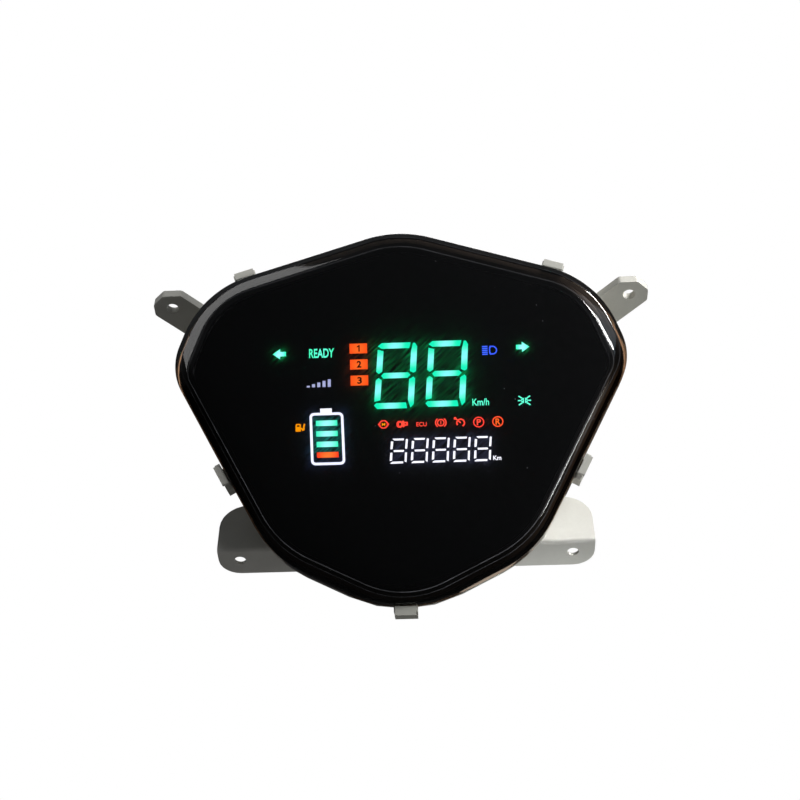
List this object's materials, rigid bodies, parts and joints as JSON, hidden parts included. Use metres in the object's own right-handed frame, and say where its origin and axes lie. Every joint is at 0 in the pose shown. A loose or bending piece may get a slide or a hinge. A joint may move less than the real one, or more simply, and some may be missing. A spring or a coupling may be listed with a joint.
{
  "type": "scooter instrument cluster",
  "caption": "Shield-shaped digital instrument cluster with a smoked raised lens, light grey rear case, snap latches, tilted mounting ears and a wide bottom bracket.",
  "frame": {"origin": "centre of the whole object's box", "axes": "the display is upright and faces -Y; +X is the display's right-hand side, +Z its top, and +Y points out of the back"},
  "size_m": [0.2184, 0.0468, 0.1662],
  "materials": {
    "smoked_lens": "polished smoked polycarbonate, almost black",
    "light_abs": "fine satin, light warm grey ABS",
    "painted_steel": "satin light grey paint on bent sheet",
    "black_film": "printed dead-front film",
    "diffuser": "milky diffusing sheet",
    "white_plastic": "white moulded plastic",
    "circuit_board": "green solder mask",
    "chip_epoxy": "black moulded epoxy",
    "black_rubber": "matte black rubber",
    "zinc_screw": "zinc-plated steel",
    "tin_pin": "tin-plated contact",
    "capacitor_sleeve": "shrink sleeve",
    "dark_nylon": "dark moulded nylon"
  },
  "bodies": {
    "cluster": {"board_socket": "white_plastic", "bottom_bracket": "painted_steel", "bracket_screw_1": "zinc_screw", "bracket_screw_2": "zinc_screw", "bracket_screw_3": "zinc_screw", "case_screw_1": "zinc_screw", "case_screw_2": "zinc_screw", "case_screw_3": "zinc_screw", "case_screw_4": "zinc_screw", "connector_housing": "dark_nylon", "connector_pin_1": "tin_pin", "connector_pin_2": "tin_pin", "connector_pin_3": "tin_pin", "connector_pin_4": "tin_pin", "connector_pin_5": "tin_pin", "connector_pin_6": "tin_pin", "connector_pin_7": "tin_pin", "connector_pin_8": "tin_pin", "connector_seal": "black_rubber", "crystal": "tin_pin", "diffuser_sheet": "diffuser", "display_film": "black_film", "ear_left": "light_abs", "ear_right": "light_abs", "ear_screw_left_1": "zinc_screw", "ear_screw_left_2": "zinc_screw", "ear_screw_right_1": "zinc_screw", "ear_screw_right_2": "zinc_screw", "filter_capacitor_left": "capacitor_sleeve", "filter_capacitor_right": "capacitor_sleeve", "gasket_ring": "black_rubber", "inner_lead": "black_rubber", "input_diode": "chip_epoxy", "led_driver_left": "chip_epoxy", "led_driver_right": "chip_epoxy", "lens": "smoked_lens", "light_box": "white_plastic", "main_board": "circuit_board", "microcontroller": "chip_epoxy", "power_inductor": "chip_epoxy", "rear_case": "light_abs", "vent_plug": "dark_nylon", "voltage_regulator": "chip_epoxy"},
    "latch_top_left_arm": {"latch_top_left": "light_abs"},
    "latch_top_right_arm": {"latch_top_right": "light_abs"},
    "latch_side_left_arm": {"latch_side_left": "light_abs"},
    "latch_side_right_arm": {"latch_side_right": "light_abs"},
    "latch_bottom_arm": {"latch_bottom": "light_abs"}
  },
  "joints": [
    {"name": "latch_top_left_flex", "type": "hinge", "parent": "cluster", "child": "latch_top_left_arm", "pos_m": [-0.06674, -0.00765, 0.06632], "axis": [-0.9553, 0, -0.2956], "range_deg": [0, 8], "stiffness_Nm_per_rad": 0.5},
    {"name": "latch_top_right_flex", "type": "hinge", "parent": "cluster", "child": "latch_top_right_arm", "pos_m": [0.06674, -0.00765, 0.06632], "axis": [-0.9553, 0, 0.2956], "range_deg": [0, 8], "stiffness_Nm_per_rad": 0.5},
    {"name": "latch_side_left_flex", "type": "hinge", "parent": "cluster", "child": "latch_side_left_arm", "pos_m": [-0.07507, -0.00765, -0.02256], "axis": [0.4708, 0, -0.8823], "range_deg": [0, 8], "stiffness_Nm_per_rad": 0.5},
    {"name": "latch_side_right_flex", "type": "hinge", "parent": "cluster", "child": "latch_side_right_arm", "pos_m": [0.07507, -0.00765, -0.02256], "axis": [0.4708, 0, 0.8823], "range_deg": [0, 8], "stiffness_Nm_per_rad": 0.5},
    {"name": "latch_bottom_flex", "type": "hinge", "parent": "cluster", "child": "latch_bottom_arm", "pos_m": [0, -0.00765, -0.08033], "axis": [1, 0, 0], "range_deg": [0, 8], "stiffness_Nm_per_rad": 0.5}
  ]
}
